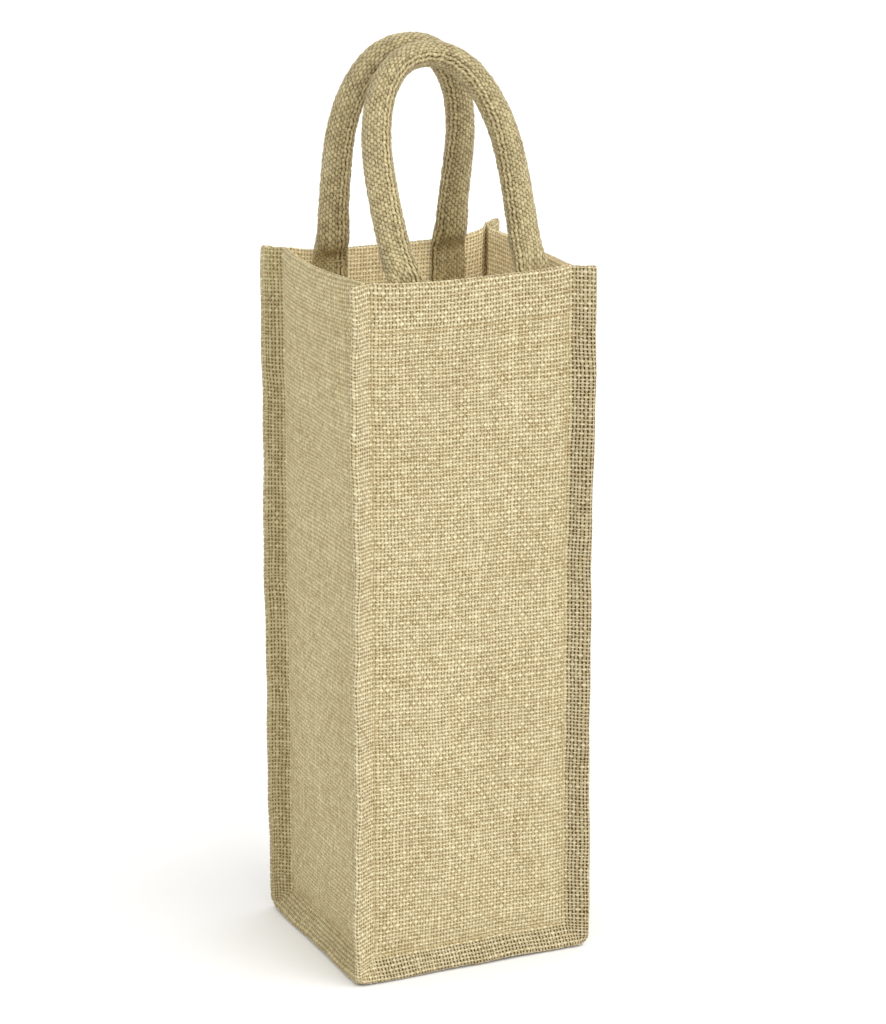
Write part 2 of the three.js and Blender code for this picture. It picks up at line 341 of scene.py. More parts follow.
def panel_sheet(wall, u, v, rolls_across):
    """The outer face of a wall's cloth in the wall's own directions, with its rolled edges, fold and hem.
    u is across the flat cloth from its middle; v is up it, from the crease over its lower flange."""
    side = np.where(u < 0, -1.0, 1.0)
    step = 0.05

    def placed(p, q):
        """The points this far past the creases, and the ways out of the cloth there."""
        at = tray(wall, p, q, side, SKIN)
        e1, e2 = tray(wall, p + step, q, side, SKIN) - at, tray(wall, p, q - step, side, SKIN) - at
        return at, normalized(np.cross(e1, e2)) * side[..., None]

    side_crease, low_crease, flange, low_flange = wall.creases(SKIN)
    v_top = wall.fold_start()
    p, q = np.abs(u) - side_crease, -np.minimum(v, v_top)
    straight = CORNER - ROLL
    cu, cv = flange - straight, low_flange - straight
    px, py, dx, dy, rolled = corner_turn(p - cu, q - cv, straight, rolls_across)
    p1, q1 = cu + px, cv + py
    at, normal = placed(p1, q1)
    along = normalized(tray(wall, p1 + step * dx, q1 + step * dy, side, SKIN) - at)
    angle = (rolled / ROLL)[..., None]
    outer = np.where(angle > 0, at + ROLL * (np.sin(angle) * along - (1 - np.cos(angle)) * normal), at)
    # inside the hem: the folded part lies behind the wall, and on the flanges behind their own cloth
    inside_p = np.minimum(p, flange)
    if rolls_across:
        last = 6.0  # the folded part is drawn together over this width, to end at the flange's edge
        drawn = flange - last + (p - flange + last) * last / (last + math.pi * ROLL)
        inside_p = np.where(p > flange - last, drawn, p)
    drop = np.maximum(v - v_top - math.pi * FOLD, 0)
    inner, normal = placed(inside_p, q + drop)
    inner = inner - (SKIN - lerp(HEM_INNER, BACKING, smoothstep((p + 3.2) / 3.0)))[..., None] * normal
    fold = np.clip((v - v_top) / FOLD, 0, math.pi)[..., None]
    result = lerp(outer, inner, (1 - np.cos(fold)) / 2)
    lift = np.minimum(FOLD, 0.55 * np.linalg.norm(outer - inner, axis=-1) + 0.25)
    result[..., 1] += lift * np.sin(fold[..., 0])
    return result


def hem_step(z, inside):
    """The doubled cloth of the hem stands out a little, and its stitching draws it in."""
    seam = HEIGHT - HEM_DROP + 2
    out = 0.4 * smoothstep((z - seam + 2.5) / 5) - 0.15 * np.exp(-(((z - seam) / 1.3) ** 2))
    return np.where(inside, 0, out)


def outer_face(wall, u, v, rolls_across):
    """The outer face of a sewn wall in the row frame, before its weave, with its own height at each point."""
    side_crease = wall.creases(SKIN)[0]
    local = panel_sheet(wall, u, v, rolls_across)
    inside = v > wall.fold_start() + 2
    local[..., 2] += hem_step(local[..., 1], inside) * smoothstep((side_crease - np.abs(u)) / 3)
    # the stitched seams draw the wall in beside the creases
    groove = np.exp(-(((np.abs(u) - side_crease + 1.0) / 1.1) ** 2)) * ~inside
    low_groove = np.exp(-(((v - 1.0) / 1.1) ** 2)) * (np.abs(u) < side_crease)
    local[..., 2] -= 0.32 * np.maximum(groove, low_groove)
    return wall.point(local), local[..., 1]


def show_inside(obj, open_or_inside):
    """Gives the inner material, paler and with a painted glow, to faces whose every corner is marked as inside and
    isn't in a sewn edge.
    """
    obj.data.materials.append(INNER_JUTE_PAINTED_GLOW)

    def read(items, key, width, kind):
        values = np.zeros(width * len(items), kind)
        items.foreach_get(key, values)
        return values

    x, y, z = 1000 * np.abs(read(obj.data.vertices, "co", 3, float).reshape(-1, 3)).T
    in_edge = ((x > SEAM_X - 0.4) & (y > SEAM_Y - 0.4)) | (z < SEAM_Z - 0.5)
    corners = read(obj.data.loops, "vertex_index", 1, np.int32)
    starts = read(obj.data.polygons, "loop_start", 1, np.int32)
    highest = np.maximum.reduceat(np.where(in_edge, 1.0, open_or_inside)[corners], starts)
    obj.data.polygons.foreach_set("material_index", (highest < 0).astype(np.int32))


def cloth_panel(name, seed, rolls_across, skew, material):
    """One side of the bag as a closed thick cloth, its outer face and hem woven in the mesh."""
    wall = WALLS[name]
    rng = np.random.default_rng(seed)
    side_crease, low_crease, flange, low_flange = wall.creases(SKIN)
    edge_u = side_crease + flange + (math.pi * ROLL if rolls_across else -0.25)
    low_v, v_top = -(low_flange + math.pi * ROLL), wall.fold_start()
    high_v = v_top + math.pi * FOLD + HEM_DROP - 1.5
    u, v, U, V = yarn_grid(rng, -edge_u, edge_u, low_v, high_v)
    fade = smoothstep((edge_u - np.abs(u)) / 5) * smoothstep(np.minimum(v - low_v, high_v - v) / 5)
    u, v = wander(rng, u, v, fade)
    # the level yarns hang askew between the hem and the bottom seam
    share = u / edge_u
    v = v - skew * (2.4 * share - 0.9 * share ** 2) * smoothstep(v / 60) * smoothstep((v_top - 27 - v) / 30)
    placed, z = outer_face(wall, u, v, rolls_across)
    on_flange = np.maximum(smoothstep((np.abs(u) - side_crease + 0.5) / 2.5),
                           smoothstep((0.5 - v) / 2.5) * (1.0 if rolls_across else 0.6))
    hemmed = smoothstep((z - HEIGHT + HEM_DROP) / 3)
    openness = np.clip(on_flange * (1 - 0.6 * hemmed) + 0.12 + 0.15 * hemmed, 0, 1)
    # the sewn edges at the front left corner are pulled tight
    tight = {"front": -1, "left": 1}.get(name, 0)
    openness = openness * np.where(u * tight > side_crease - 1, 0.3, 1.0)
    past_fold = v > v_top + 2.4
    openness[past_fold] = 0.5
    height = relief(rng, U, V, openness)
    dense = placed + grid_normals(placed) * (height * (1.0 if rolls_across else 0.7))[..., None]
    weave = np.stack([U, V, np.where(past_fold, -1, openness)], axis=-1)

    # the inner face, coarser, from the hem down to the lower flange
    in_crease, in_low, in_flange, bottom = wall.creases(BACKING)
    top_v = HEIGHT - HEM_DROP - 0.1 - in_low
    cu, cv = np.meshgrid(np.linspace(-1, 1, 61), np.linspace(0, 1, 81))
    cu, cv = cu * (in_crease + wall.flare - ROLL), -bottom + cv * (top_v + bottom)
    straight = CORNER - ROLL
    p, q = np.abs(cu) - in_crease, -cv
    px, py, *_ = corner_turn(p - (in_flange - straight), q - (bottom - straight), straight, True)
    side = np.where(cu < 0, -1.0, 1.0)
    coarse = wall.point(tray(wall, in_flange - straight + px, bottom - straight + py, side, BACKING))
    c_weave = np.stack([(cu + edge_u) / WARP, (cv - low_v) / WEFT, 0 * cu - 1], axis=-1)

    # the inner face's top corners are the hem's own end points
    index, c_index = numbered(dense), numbered(coarse, U.size)
    unused = [c_index[-1, 0], c_index[-1, -1]]
    c_index[-1, 0], c_index[-1, -1] = index[-1, 0], index[-1, -1]
    hem_row = int(np.argmin(np.abs(v[:, U.shape[1] // 2] - (v_top - (HEM_DROP - 3.1)))))
    apex_row = (hem_row + len(index) - 1) // 2
    tris = [joined(index[0], c_index[0], True),
            joined(index[:hem_row + 1, 0], c_index[:, 0], False),
            joined(index[:hem_row + 1, -1], c_index[:, -1], True),
            joined(index[hem_row:apex_row + 1, 0], index[apex_row:, 0][::-1], False),
            joined(index[hem_row:apex_row + 1, -1], index[apex_row:, -1][::-1], True),
            joined(index[-1], c_index[-1], False)]
    points, weave = both(dense, coarse), both(weave, c_weave)
    keep = np.ones(len(points), bool)
    keep[unused] = False
    new = np.cumsum(keep) - 1
    quads, tris = (new[np.concatenate(k)] for k in ([grid_quads(*index.shape), flipped_quads(c_index)], tris))
    obj = make_mesh(f"{name}_cloth", points[keep], quads, tris, {"weave": weave[keep]}, material)
    show_inside(obj, weave[keep][:, 2])
    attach(obj, "bag")
    2 * edge_u / 1000
    (high_v - low_v) / 1000
    return obj, dense, grid_normals(placed)


def base_cloth(seed, material):
    """The bottom of the bag: a woven cloth whose four edges turn down inside the walls' lower flanges."""
    wall = WALLS["base"]
    rng = np.random.default_rng(seed)
    tan_x, tan_y = math.tan(wall.angle / 2), math.tan(wall.low_angle / 2)
    reach = (SEAM_Z - LOW_EDGE) / SEAM_Z
    straight = CORNER - ROLL

    def face(offset, woven):
        crease_x, crease_y = wall.half - offset * tan_x, wall.low - offset * tan_y
        flange_x = wall.flare * reach - 0.3 + offset * tan_x
        flange_y = wall.low_flare * reach - 0.3 + offset * tan_y
        edge_x, edge_y = crease_x + flange_x, crease_y + flange_y
        if woven:
            u, v, U, V = yarn_grid(rng, -edge_x, edge_x, -edge_y, edge_y)
            u, v = wander(rng, u, v, smoothstep(np.minimum(edge_x - np.abs(u), edge_y - np.abs(v)) / 5))
        else:
            u, v = np.meshgrid(np.linspace(-edge_x, edge_x, 51), np.linspace(-edge_y, edge_y, 45))
            U, V = (u + edge_x) / WARP, (v + edge_y) / WEFT
        p, q = np.abs(u) - crease_x, np.abs(v) - crease_y
        px, py, *_ = corner_turn(p - (flange_x - straight), q - (flange_y - straight), straight, True)
        across, down = flange_x - straight + px, flange_y - straight + py
        local = tray(wall, across, down, np.where(u < 0, -1.0, 1.0), offset, np.where(v < 0, -1.0, 1.0))
        openness = np.maximum(smoothstep((p + 0.5) / 2.5), smoothstep((q + 0.5) / 2.5))
        return wall.point(local), np.stack([U, V, openness if woven else openness - 1], axis=-1)

    placed, weave = face(SKIN, True)
    height = relief(rng, weave[..., 0], weave[..., 1], weave[..., 2])
    dense = placed + grid_normals(placed) * np.minimum(height, 0.05)[..., None]
    coarse, c_weave = face(BACKING, False)
    index, c_index = numbered(dense), numbered(coarse, dense[..., 0].size)
    tris = [joined(index[0], c_index[0], True), joined(index[-1], c_index[-1], False),
            joined(index[:, 0], c_index[:, 0], False), joined(index[:, -1], c_index[:, -1], True)]
    points, weave = both(dense, coarse), both(weave, c_weave)
    quads = np.concatenate([grid_quads(*index.shape), flipped_quads(c_index)])
    obj = make_mesh("base_cloth", points, quads, np.concatenate(tris), {"weave": weave}, material)
    show_inside(obj, weave[:, 2])
    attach(obj, "bag")
    flat_x, flat_y = wall.half + wall.flare * reach, wall.low + wall.low_flare * reach
    2 * flat_x / 1000
    2 * flat_y / 1000
    return obj


# -------- thread and loose fibres

def tubes(name, centre, up, radius, sides, ids, material):
    """Closed tubes along many lines at once: centre is lines by steps by 3, up a direction for each step."""
    lines, steps = centre.shape[:2]
    tangent = normalized(np.gradient(centre, axis=1))
    side = normalized(np.cross(up, tangent))
    up = np.cross(tangent, side)
    turn = 2 * np.pi * np.arange(sides) / sides
    ring = np.cos(turn)[:, None] * side[:, :, None] + np.sin(turn)[:, None] * up[:, :, None]
    radius = np.broadcast_to(radius, (lines, steps))[..., None, None]
    points = centre[:, :, None] + ring * radius
    gaps = np.linalg.norm(np.diff(centre, axis=1), axis=2)
    length = np.concatenate([np.zeros((lines, 1)), np.cumsum(gaps, axis=1)], axis=1)
    numbers = np.asarray(ids, float)[:, None, None]
    data = np.stack(np.broadcast_arrays(length[..., None], turn / (2 * np.pi), numbers), axis=-1)
    starts = (np.arange(lines) * steps * sides)[:, None, None]
    quads = (grid_quads(steps, sides, closed=True)[None] + starts).reshape(-1, 4)[:, ::-1]
    fan = np.array([(0, k, k + 1) for k in range(1, sides - 1)])
    ends = (fan, fan[:, ::-1] + (steps - 1) * sides)
    tris = np.concatenate([(end + starts).reshape(-1, 3) for end in ends])
    return make_mesh(name, points.reshape(-1, 3), quads, tris, {"thread": data.reshape(-1, 3)}, material)


def stitches(rng, line, normals, pitch=4.1, length=3.2, across=0.0):
    """Running stitches along a line: where each starts and ends on the cloth, and the way out of it."""
    s = np.concatenate([[0], np.cumsum(np.linalg.norm(np.diff(line, axis=0), axis=1))])
    count = int((s[-1] - length) // pitch) + 1
    spare = s[-1] - (count - 1) * pitch - length
    first = np.arange(count) * pitch + spare / 2 + rng.uniform(-0.15, 0.15, count)

    def at(values, where):
        return np.stack([np.interp(where, s, values[:, k]) for k in range(3)], axis=1)

    t = np.linspace(0, 1, 9)
    where = first[:, None] + length * t
    centre = at(line, where.ravel()).reshape(count, 9, 3)
    out = normalized(at(normals, where.ravel())).reshape(count, 9, 3)
    along = normalized(centre[:, -1] - centre[:, 0])[:, None]
    slant = rng.uniform(-0.12, 0.12, (count, 1, 1)) + across * (t - 0.5)[None, :, None]
    lift = 0.48 * np.sin(np.pi * np.clip(t, 0.02, 0.98)) ** 0.5 - 0.33
    return centre + out * lift[None, :, None] + np.cross(out, along) * slant, out


def sew(name, parts, radius, seed):
    centre, up = (np.concatenate([part[k] for part in parts]) for k in (0, 1))
    return tubes(name, centre, up, radius, 8, np.arange(len(centre)) + seed * 100, THREAD)


def wall_line(name, rolls_across, u, v):
    """A line on a wall's outer face at these flat places, and the ways out of the cloth along it."""
    wall = WALLS[name]
    level = np.ptp(u) > np.ptp(v)
    e = np.array([-0.4, 0.0, 0.4])
    if level:
        uu, vv = np.meshgrid(u, v[0] + e)
    else:
        uu, vv = np.meshgrid(u[0] + e, v)
    grid, _ = outer_face(wall, uu, vv, rolls_across)
    normals = grid_normals(grid)
    return (grid[1], normals[1]) if level else (grid[:, 1], normals[:, 1])


def fuzz(name, seed, points, normals, count):
    """Loose fibres that stand and curl a little off a surface, at places picked from its points."""
    points, normals = points.reshape(-1, 3), normals.reshape(-1, 3)
    rng = np.random.default_rng(seed)
    pick = rng.integers(0, len(points), count)
    start, out = points[pick], normals[pick]
    lie = rng.standard_normal((count, 3))
    lie = normalized(lie - (lie * out).sum(axis=1, keepdims=True) * out)
    turn = normalized(np.cross(out, lie))
    length = rng.uniform(2.0, 6.5, (count, 1, 1))
    height = rng.uniform(0.25, 1.1, (count, 1, 1))
    curl = rng.uniform(-0.9, 0.9, (count, 1, 1))
    t = np.linspace(0, 1, 7)[None, :, None]
    centre = (start[:, None] + lie[:, None] * length * t + turn[:, None] * curl * t * t * 1.6
              + out[:, None] * (height * np.sin(np.pi * 0.8 * t) - 0.25 * (1 - t)))
    centre[..., 2] = np.maximum(centre[..., 2], 0.15)
    up = np.broadcast_to(out[:, None], centre.shape)
    return tubes(name, centre, up, np.linspace(0.085, 0.035, 7), 3, np.arange(count) + seed, FIBRE)


# -------- materials

class Value:
    """A number, vector or colour inside a node material, which can be written in sums."""

    def __init__(self, nodes, socket):
        self.nodes, self.socket = nodes, socket

    def __add__(self, other):
        return self.nodes.math("ADD", self, other)

    def __sub__(self, other):
        return self.nodes.math("SUBTRACT", self, other)

    def __mul__(self, other):
        return self.nodes.math("MULTIPLY", self, other)

    def __truediv__(self, other):
        return self.nodes.math("DIVIDE", self, other)

    def __rsub__(self, other):
        return self.nodes.math("SUBTRACT", other, self)

    __radd__, __rmul__ = __add__, __mul__


class Nodes:
    """A short way to write a node material."""

    def __init__(self, name):
        self.material = bpy.data.materials.new(name)
        self.material.use_nodes = True
        self.tree = self.material.node_tree
        self.shader = self.tree.nodes["Principled BSDF"]

    def put(self, socket, value):
        if isinstance(value, Value):
            self.tree.links.new(value.socket, socket)
        elif value is not None:
            socket.default_value = value

    def node(self, kind, inputs=(), output=0, **settings):
        made = self.tree.nodes.new(kind)
        for key, value in settings.items():
            setattr(made, key, value)
        for key, value in (inputs.items() if isinstance(inputs, dict) else enumerate(inputs)):
            self.put(made.inputs[key], value)
        return Value(self, made.outputs[output])

    def math(self, operation, a, b=None):
        return self.node("ShaderNodeMath", (a, b), operation=operation)

    def attribute(self, name):
        return self.node("ShaderNodeAttribute", attribute_name=name, output="Vector")

    def split(self, vector):
        made = self.tree.nodes.new("ShaderNodeSeparateXYZ")
        self.put(made.inputs[0], vector)
        return [Value(self, socket) for socket in made.outputs]

    def join(self, x=0.0, y=0.0, z=0.0):
        return self.node("ShaderNodeCombineXYZ", (x, y, z))

    def noise(self, vector, scale, detail=2.0, roughness=0.5):
        inputs = {"Vector": vector, "Scale": scale, "Detail": detail, "Roughness": roughness}
        return self.node("ShaderNodeTexNoise", inputs)

    def random(self, seed, kind="1D"):
        socket = "W" if kind == "1D" else "Vector"
        return self.node("ShaderNodeTexWhiteNoise", {socket: seed}, noise_dimensions=kind)

    def range(self, value, low, high, to_low=0.0, to_high=1.0):
        return self.node("ShaderNodeMapRange", (value, low, high, to_low, to_high))

    def mix(self, factor, a, b, kind="RGBA"):
        made = self.tree.nodes.new("ShaderNodeMix")
        made.data_type = kind
        sockets = [socket for socket in made.inputs if socket.type == kind][-2:]
        for socket, value in zip((made.inputs["Factor"], *sockets), (factor, a, b)):
            self.put(socket, value)
        return Value(self, next(socket for socket in made.outputs if socket.type == kind))

    def blend(self, factor, a, b):
        return a + factor * (b - a)

    def dome(self, squared):
        """The height of a round section where this is the square of the share of the way out."""
        return self.math("SQRT", self.math("MAXIMUM", 1.0 - squared, 0.0))

    def vary(self, value, changes):
        """A value changed by noises that centre on a half, each by its own amount, kept between 0 and 1."""
        for noise, amount in changes:
            value = value + (noise - 0.5) * amount
        return self.node("ShaderNodeClamp", (value, 0.0, 1.0))

    def shade(self, colour, roughness, plain=(), height=None, strength=0.5, distance=0.0006):
        """Fills in the shader: plain holds its single numbers, and height its bumps."""
        for name, value in {"Base Color": colour, "Roughness": roughness, **dict(plain)}.items():
            self.put(self.shader.inputs[name], value)
        if height:
            bump = {"Strength": strength, "Distance": distance, "Height": height}
            self.put(self.shader.inputs["Normal"], self.node("ShaderNodeBump", bump))
        return self.material


def srgb(r, g, b):
    """A colour as it looks in the bright studio, where it takes a darker material."""
    return tuple(0.78 * ((c / 255 + 0.055) / 1.055) ** 2.4 for c in (r, g, b)) + (1.0,)


PALEST = (0.93, 0.82, 0.62)  # jute is never whiter than this


def jute_material(name, contrast, tint, painted_glow=0.0):
    """Plain-woven jute: uneven yarns with fibres and slubs, brown flecks, painted light on the yarns' crowns and
    painted shade in the gaps and holes between them.
    contrast is how much the yarns' painted shading stands out, tint what the colour is scaled by, and the last
    argument a painted glow that stands in for light through the cloth."""
    n = Nodes(name)
    U, V, open_or_inside = n.split(n.attribute("weave"))
    openness = n.math("MAXIMUM", open_or_inside, open_or_inside * -0.5)
    inside = n.range(open_or_inside, -1.0, 0.0, 1.3, 1.0)  # painted light: the bag's inner side is made 1.3 times paler, standing in for daylight through the cloth
    place = n.join(U, V)

    ragged = (n.noise(place, 1.7, 4.0, 0.75) - 0.5) * 0.62
    i, j = n.math("FLOOR", U), n.math("FLOOR", V)
    fu, fv = U - i - 0.5 + ragged, V - j - 0.5 - ragged
    over = 1.0 - n.math("FLOORED_MODULO", i + j, 2.0) * 2.0
    slub_warp = n.noise(n.join(i * 7.31, V * 0.35), 1.0, 3.0, 0.6)
    slub_weft = n.noise(n.join(U * 0.35, j * 5.77, 31.0), 1.0, 3.0, 0.6)
    warp_half = n.range(slub_warp, 0.3, 0.7, WARP_HALF - 0.09, WARP_HALF + 0.08) - openness * 0.05
    weft_half = n.range(slub_weft, 0.3, 0.7, WEFT_HALF - 0.08, WEFT_HALF + 0.09) - openness * 0.06

    def section(f, half):
        ratio = f / half
        return n.dome(ratio * ratio)

    def height_of(round_, across, crimp, longer):
        wave = n.math("COSINE", across * math.pi) * (over * math.copysign(STEEP, crimp)) + STEEP * longer
        wave = n.math("MINIMUM", n.math("MAXIMUM", wave, -1.0), 1.0)
        return wave * abs(crimp) + round_ * YARN

    warp_round, weft_round = section(fu, warp_half), section(fv, weft_half)
    warp_height = height_of(warp_round, fv, WARP_CRIMP, WARP_LONGER)
    weft_height = height_of(weft_round, fu, -WEFT_CRIMP, WEFT_LONGER)
    height = n.math("MAXIMUM", warp_height, weft_height)
    is_weft = n.math("GREATER_THAN", weft_height, warp_height)
    round_ = n.blend(is_weft, warp_round, weft_round)
    covered = n.range(n.math("MAXIMUM", warp_round, weft_round), 0.0, 0.45)

    def fibres(stretch_u, stretch_v, seed):
        return n.noise(n.join(U * stretch_u, V * stretch_v, seed), 1.0, 3.0, 0.65)

    fibre = n.blend(is_weft, fibres(7.0, 1.1, 3.0), fibres(1.1, 7.0, 8.0))
    tone = n.blend(is_weft, n.random(i + 0.5), n.random(j + 400.5))
    slub = n.blend(is_weft, slub_warp, slub_weft)
    crossing = n.random(n.join(i, j, is_weft + 0.5), "3D")
    cloudy, patchy = n.noise(place, 0.05, 3.0, 0.6), n.noise(place, 0.35, 2.0, 0.6)
    grain = n.noise(place, 2.3, 2.0, 0.6)

    # painted light and shade: the yarns' crowns and the middle of the weft floats are painted lighter and the gaps
    # between warp yarns darker; woven sums them
    painted_crown_light = n.range(height, 0.05, WEFT_CRIMP + YARN)
    painted_streak_highlight = is_weft * n.range(n.math("ABSOLUTE", fv), 0.03, 0.21, 1.0, 0.0)
    gap = n.range(n.math("ABSOLUTE", fu), 0.34, 0.5)
    woven = painted_crown_light * 0.16 + round_ * 0.14 + painted_streak_highlight * 0.40 - gap * 0.26
    by_yarn, by_place = ((tone, 0.12), (slub, 0.35), (crossing, 0.26)), ((cloudy, 0.18), (patchy, 0.16))
    light = woven * contrast + (0.54 - 0.24 * contrast)
    light = n.vary(light, ((fibre, 0.9), (grain, 1.0), *by_yarn, *by_place))

    body = n.mix(light, srgb(138, 112, 62), srgb(250, 240, 206))
    warm = n.range(n.noise(n.join(U * 0.4, V, 15.0), 0.6, 2.0, 0.6), 0.35, 0.65, 0.0, 0.22)
    body = n.mix(warm * n.range(is_weft, 0.0, 1.0, 1.0, 0.4), body, srgb(204, 170, 118))
    fleck = n.range(n.noise(n.join(U * 1.2, V, 5.0), 0.9, 3.0, 0.6), 0.66, 0.74, 0.0, 0.7)
    body = n.mix(fleck, body, srgb(130, 102, 58))
    # painted shade: the holes between the yarns are coloured darker the more open the weave is, standing in for
    # the shade behind the cloth
    painted_hole_shade = n.mix(n.math("POWER", openness, 0.6), srgb(148, 121, 72), srgb(62, 44, 16))
    painted_hole_shade = n.mix(0.7 * (1 - contrast), painted_hole_shade, srgb(176, 152, 100))
    colour = n.mix(covered, painted_hole_shade, body)
    # painted shade: open weave, as on the flanges, is darkened further
    colour = n.mix(n.range(openness, 0.3, 1.0, 0.0, 0.14), colour, srgb(104, 80, 42))
    for operation, socket, value in (("SCALE", 3, inside), ("MULTIPLY", 1, tint), ("MINIMUM", 1, PALEST)):
        colour = n.node("ShaderNodeVectorMath", {0: colour, socket: value}, operation=operation)
    # the emission is a painted glow; it is above zero only for the bag's inner side
    plain = {"Emission Color": (1.0, 0.87, 0.55, 1.0), "Emission Strength": painted_glow, "Sheen Weight": 0.10,
             "Sheen Roughness": 0.5, "Specular IOR Level": 0.25}
    return n.shade(colour, n.range(light, 0.0, 1.0, 0.95, 0.78), plain, height * 0.6 + fibre * 0.16)


JUTE = jute_material("jute_weave", 1.0, (1.05, 1.05, 0.98))
# painted shade: the side walls' copy of the cloth is darker and yellower than the front and back's, with its
# yarns' painted shading at half contrast
SIDE_JUTE_PAINTED_SHADE = jute_material("jute_weave_sides_painted_shade", 0.5, (0.96, 0.96, 0.81))
INNER_JUTE_PAINTED_GLOW = jute_material("jute_weave_inside_painted_glow", 1.0, (1.0, 0.97, 0.88), 0.15)  # painted glow, with a paler colour, standing in for daylight through the cloth


def thread_material():
    """Two-ply jute thread, a little warmer than the cloth."""
    n = Nodes("jute_thread")
    along, around, number = n.split(n.attribute("thread"))
    wave = n.math("COSINE", (along / 0.95 + around) * (4 * math.pi))
    fibre = n.noise(n.join(along * 2.5, around * 9.0, number), 1.0, 3.0, 0.6)
    # painted light and shade: the plies' crowns are painted lighter and the dips between them darker
    light = n.vary(n.range(wave, -1.0, 1.0, 0.15, 0.6), ((fibre, 0.7), (n.random(number), 0.25)))
    return n.shade(n.mix(light, srgb(204, 174, 112), srgb(254, 234, 178)), n.range(light, 0.0, 1.0, 0.9, 0.7),
                   {"Sheen Weight": 0.1}, wave + fibre, 0.6, 0.0003)


def fibre_material():
    """Single jute fibres, from straw to brown along and between them."""
    n = Nodes("jute_fibre")
    along, around, number = n.split(n.attribute("thread"))
    light = (n.random(number) + n.noise(n.join(along, number), 0.9, 2.0)) * 0.5
    return n.shade(n.mix(light, srgb(150, 124, 78), srgb(244, 230, 190)), n.range(light, 0.0, 1.0, 0.75, 0.5))


THREAD, FIBRE = thread_material(), fibre_material()
SEAM_U, HEM_SEAM = 51.75, HEIGHT - HEM_DROP + 1.6
PANELS = (("front", True, 1.0), ("back", True, -0.5), ("left", False, 0.4), ("right", False, -0.4))
for number, (name, rolls, skew) in enumerate(PANELS):
    cloth, surface, ways_out = cloth_panel(name, 11 + number, rolls, skew, JUTE if rolls else SIDE_JUTE_PAINTED_SHADE)
    node = name if rolls else name + "_side"
    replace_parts(cloth, f"{node}_panel")
    rng = np.random.default_rng(51 + number)
    low_crease = WALLS[name].creases(SKIN)[1]
    threads = []
    level_seams = (("hem", "hem", 3.4, HEM_SEAM - low_crease), ("bottom", "bottom_seam", 1.5, 1.0))
    for seed, (piece, seam, inset, v) in enumerate(level_seams, 1):
        half = WALLS[name].half - inset
        level = np.linspace(-half, half, 300)
        line = wall_line(name, rolls, level, 0 * level + v)
        thread = sew(f"{name}_{piece}_thread", [stitches(rng, *line)], 0.34, seed)
        threads.append((thread, f"{name}_{seam}_stitching"))
    if rolls:
        upright = np.linspace(14.5, 348, 900) - low_crease
        for end, sign in (("left", -1), ("right", 1)):
            where = sign if name == "front" else -sign
            line = wall_line(name, rolls, 0 * upright + where * SEAM_U, upright)
            thread = sew(f"{name}_{end}_thread", [stitches(rng, *line)], 0.34, 3)
            threads.append((thread, f"{name}_{end}_seam_stitching"))
    for thread, stood_for in threads:
        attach(thread, "bag")
        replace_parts(thread, stood_for)
    loose = fuzz(f"{name}_fibres", 61 + number, surface, ways_out, 420)
    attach(loose, "bag")
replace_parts(base_cloth(15, JUTE), "base_panel")

# -------- handles

TUBE_Y = 40.7  # where a handle's middle stands as it leaves the bag, from the bag's middle
FLAT = {"width": 9.0, "thick": 1.35, "low": 321.5}  # half sizes of a handle's flattened end; its lower edge
LOOPS = {
    "front": {"side": -1, "half": 34.8, "shoulder": 45, "rise": 106.6, "pinch": 1.8, "lean": 24.5, "shift": 1.3,
              "seam": (14, 32, 58), "seed": 21},
    "back": {"side": 1, "half": 32.6, "shoulder": 45, "rise": 102, "pinch": 1.2, "lean": 12.7, "shift": -1,
             "seam": (12, 20, 71), "seed": 22},
}
LOOP_POWER = 2.2  # how square the loops' tops are: 2 is an ellipse
WEB_BACK = 47.7  # where the flattened ends' backs lie, from the bag's middle
BEAD, BEAD_COLUMNS, SEAM_HALF = 2.6, 26, 1.9  # a float's length, the floats around, half the seam's width
BEAD_HALF, ASLANT = (0.66, 0.60), 0.12  # half a float, as shares of a column and of its length, and its slant
SEAM_COLUMNS, RIDGE_AT, RIDGE_HALF, TWIST = 15, 1.15, 1.1, 2.3  # the seam's mesh columns, its twisted ridges


def smoothed(values, width):
    """Values along a line, averaged over a bell of that many steps, with the ends kept."""
    reach = int(3 * width)
    bell = np.exp(-0.5 * (np.arange(-reach, reach + 1) / width) ** 2)
    bell /= bell.sum()
    start = 2 * values[0] - values[reach:0:-1]
    end = 2 * values[-1] - values[-2:-reach - 2:-1]
    whole = np.concatenate([start, values, end])
    return np.stack([np.convolve(whole[:, k], bell, mode="valid") for k in range(values.shape[1])], axis=1)


